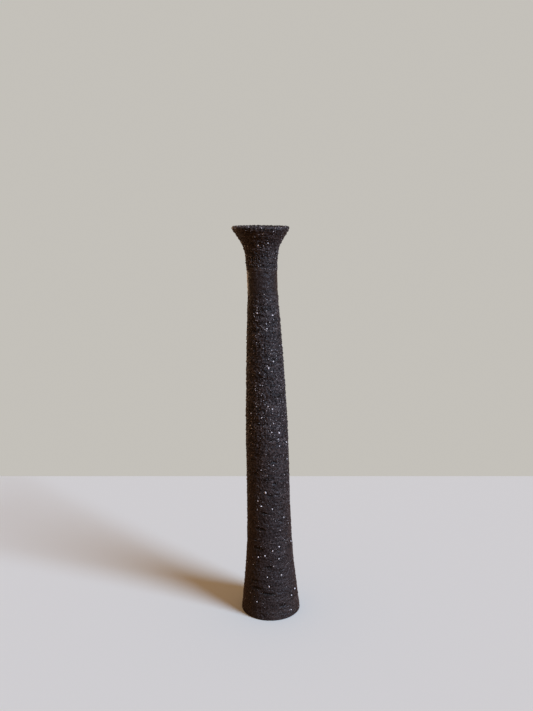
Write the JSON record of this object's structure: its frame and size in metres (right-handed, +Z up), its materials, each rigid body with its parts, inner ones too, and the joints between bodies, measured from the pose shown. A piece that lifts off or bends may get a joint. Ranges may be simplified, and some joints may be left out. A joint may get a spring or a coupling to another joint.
{
  "type": "bud vase",
  "caption": "Tall slim bud vase of dark grogged stoneware: flared foot, tapering hollow shaft, narrow neck and a trumpet mouth.",
  "frame": {"origin": "centre of the flat base, on the surface that the vase stands on", "axes": "+Z up from base to mouth; -Y is the front that the picture shows; the pot's own axis leans 1.5 degrees from +Z towards -X"},
  "size_m": [0.0559, 0.0492, 0.32],
  "materials": {
    "stoneware": "unglazed, matt, coarse with pale grog",
    "joining_slip": "unglazed, matt, smoother than the body",
    "liner_glaze": "thin glossy dark brown liner",
    "grog": "crushed pale fired clay, matt, in the visual model's clay"
  },
  "bodies": {
    "root": {"foot_section": "stoneware", "shaft": "stoneware", "neck": "stoneware", "foot_slip_joint": "joining_slip", "neck_slip_joint": "joining_slip", "liner_glaze": "liner_glaze"}
  },
  "joints": []
}
